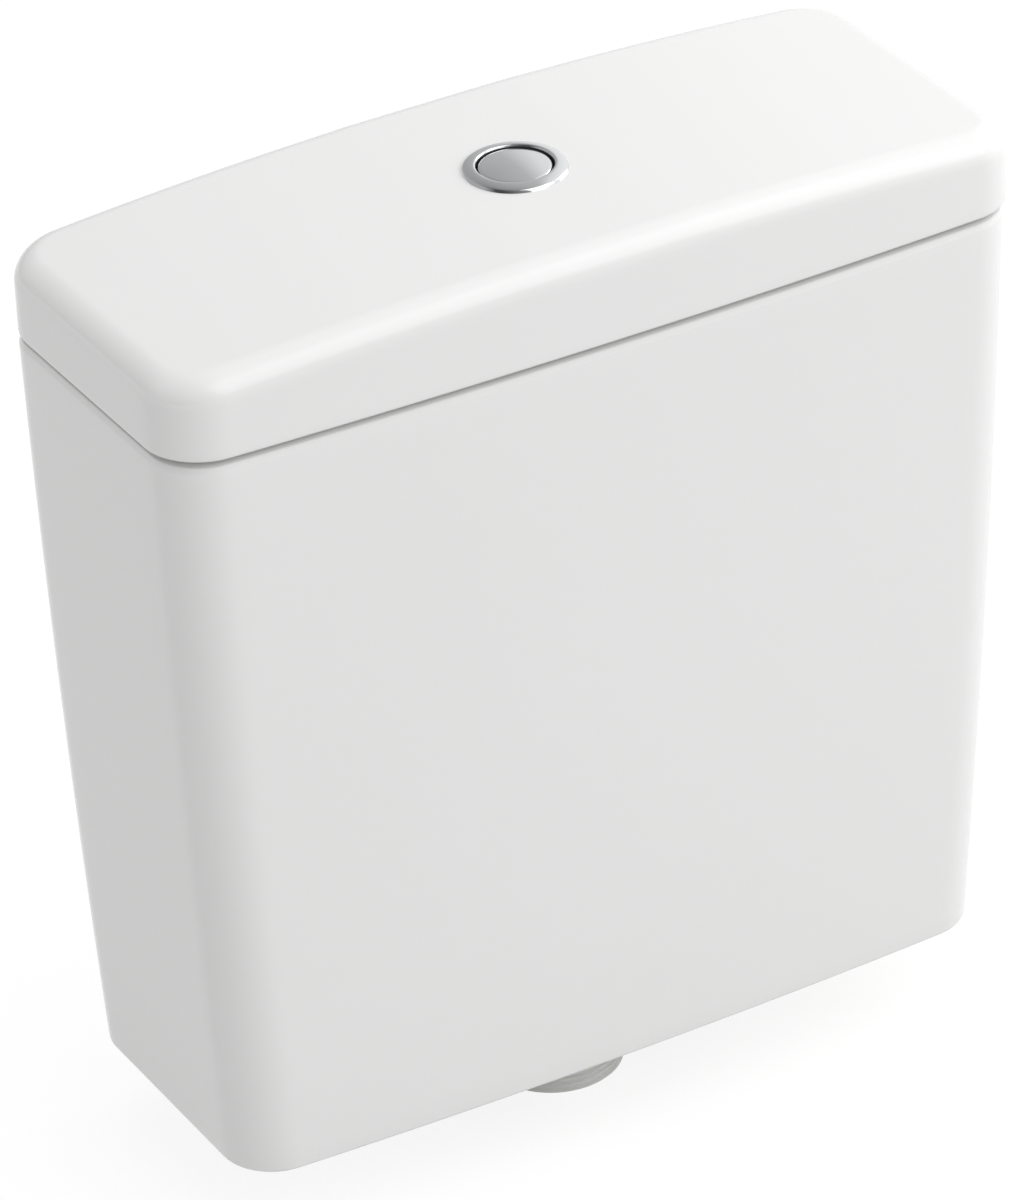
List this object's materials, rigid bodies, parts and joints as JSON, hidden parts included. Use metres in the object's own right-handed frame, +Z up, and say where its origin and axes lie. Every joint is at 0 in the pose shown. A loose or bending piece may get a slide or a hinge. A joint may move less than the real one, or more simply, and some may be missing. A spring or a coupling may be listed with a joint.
{
  "type": "toilet cistern",
  "caption": "White ceramic close-coupled toilet cistern with a lift-off crowned lid, centre push button, flush valve and bottom-entry fill valve inside.",
  "frame": {"origin": "on the seat plane under the tank, at the flush outlet's axis", "axes": "+Z up, front of the cistern towards -Y, wall side towards +Y, +X to the right seen from the front"},
  "size_m": [0.39, 0.1554, 0.4269],
  "materials": {
    "glaze": "white vitreous glaze",
    "plate": "bright plating",
    "steel": "plain stainless wire and bar",
    "brass": "plain brass",
    "rubber": "matt black rubber",
    "seal": "red silicone",
    "pad": "pale soft pad",
    "white_plastic": "moulded",
    "grey_plastic": "moulded",
    "blue_plastic": "moulded",
    "yellow_plastic": "moulded",
    "red_plastic": "moulded"
  },
  "bodies": {
    "tank": {"cistern_tank": "glaze", "lid_pads": "pad", "valve_base": "white_plastic", "window_cage": "white_plastic", "base_washer": "rubber", "base_backnut": "white_plastic", "coupling_washer": "rubber", "valve_tower": "grey_plastic", "rocker_pins": "steel", "fill_standpipe": "white_plastic", "inlet_washer": "rubber", "inlet_backnut": "brass", "fill_head": "grey_plastic", "valve_diaphragm": "rubber", "head_cap": "blue_plastic", "arm_pin": "steel", "discharge_tube": "white_plastic", "inlet_filter": "blue_plastic", "coupling_bolts": "steel", "bolt_seals": "rubber", "bolt_washers": "steel", "bolt_nuts": "steel"},
    "lid": {"cistern_lid": "glaze", "button_bezel": "plate", "button_guide": "white_plastic", "bezel_gasket": "rubber", "bezel_nut": "white_plastic", "button_spring": "steel"},
    "button": {"push_button": "plate", "stem_clip": "steel", "push_rod": "white_plastic", "rod_locknut": "blue_plastic"},
    "bridge": {"press_bridge": "white_plastic"},
    "rocker_l": {"rocker_left": "yellow_plastic"},
    "rocker_r": {"rocker_right": "yellow_plastic"},
    "plug": {"overflow_tube": "blue_plastic", "seal_carrier": "blue_plastic", "flush_seal": "seal", "seal_retainer": "blue_plastic", "flush_float": "white_plastic", "lift_collar": "red_plastic"},
    "float": {"fill_float": "white_plastic", "level_screw": "red_plastic"},
    "arm": {"float_arm": "white_plastic"}
  },
  "joints": [
    {"name": "lid_lift", "type": "slide", "parent": "tank", "child": "lid", "axis": [0, 0, 1], "range_m": [0, 0.15]},
    {"name": "button_press", "type": "slide", "parent": "lid", "child": "button", "axis": [0, 0, -1], "range_m": [0, 0.01], "stiffness_N_per_m": 250, "springref_m": -0.012, "deforming": ["button_spring"]},
    {"name": "bridge_press", "type": "slide", "parent": "tank", "child": "bridge", "axis": [0, 0, -1], "range_m": [0, 0.01]},
    {"name": "rocker_left_tilt", "type": "hinge", "parent": "tank", "child": "rocker_l", "pos_m": [-0.039, 0, 0.25405], "axis": [0, -1, 0], "range_deg": [0, 36.45]},
    {"name": "rocker_right_tilt", "type": "hinge", "parent": "tank", "child": "rocker_r", "pos_m": [0.039, 0, 0.25405], "axis": [0, 1, 0], "range_deg": [0, 36.45]},
    {"name": "valve_lift", "type": "slide", "parent": "tank", "child": "plug", "axis": [0, 0, 1], "range_m": [0, 0.0125]},
    {"name": "float_rise", "type": "slide", "parent": "tank", "child": "float", "axis": [0, 0, 1], "range_m": [0, 0.012]},
    {"name": "arm_swing", "type": "hinge", "parent": "tank", "child": "arm", "pos_m": [0.132, 0, 0.301], "axis": [0, 1, 0], "range_deg": [0, 15]}
  ],
  "couplings": [
    {"joint": "bridge_press", "follows": "button_press", "ratio": 1},
    {"joint": "rocker_left_tilt", "follows": "button_press", "rad_per_m": 63.565},
    {"joint": "rocker_right_tilt", "follows": "button_press", "rad_per_m": 63.565},
    {"joint": "valve_lift", "follows": "button_press", "ratio": 1.25},
    {"joint": "arm_swing", "follows": "float_rise", "rad_per_m": 21.801}
  ]
}
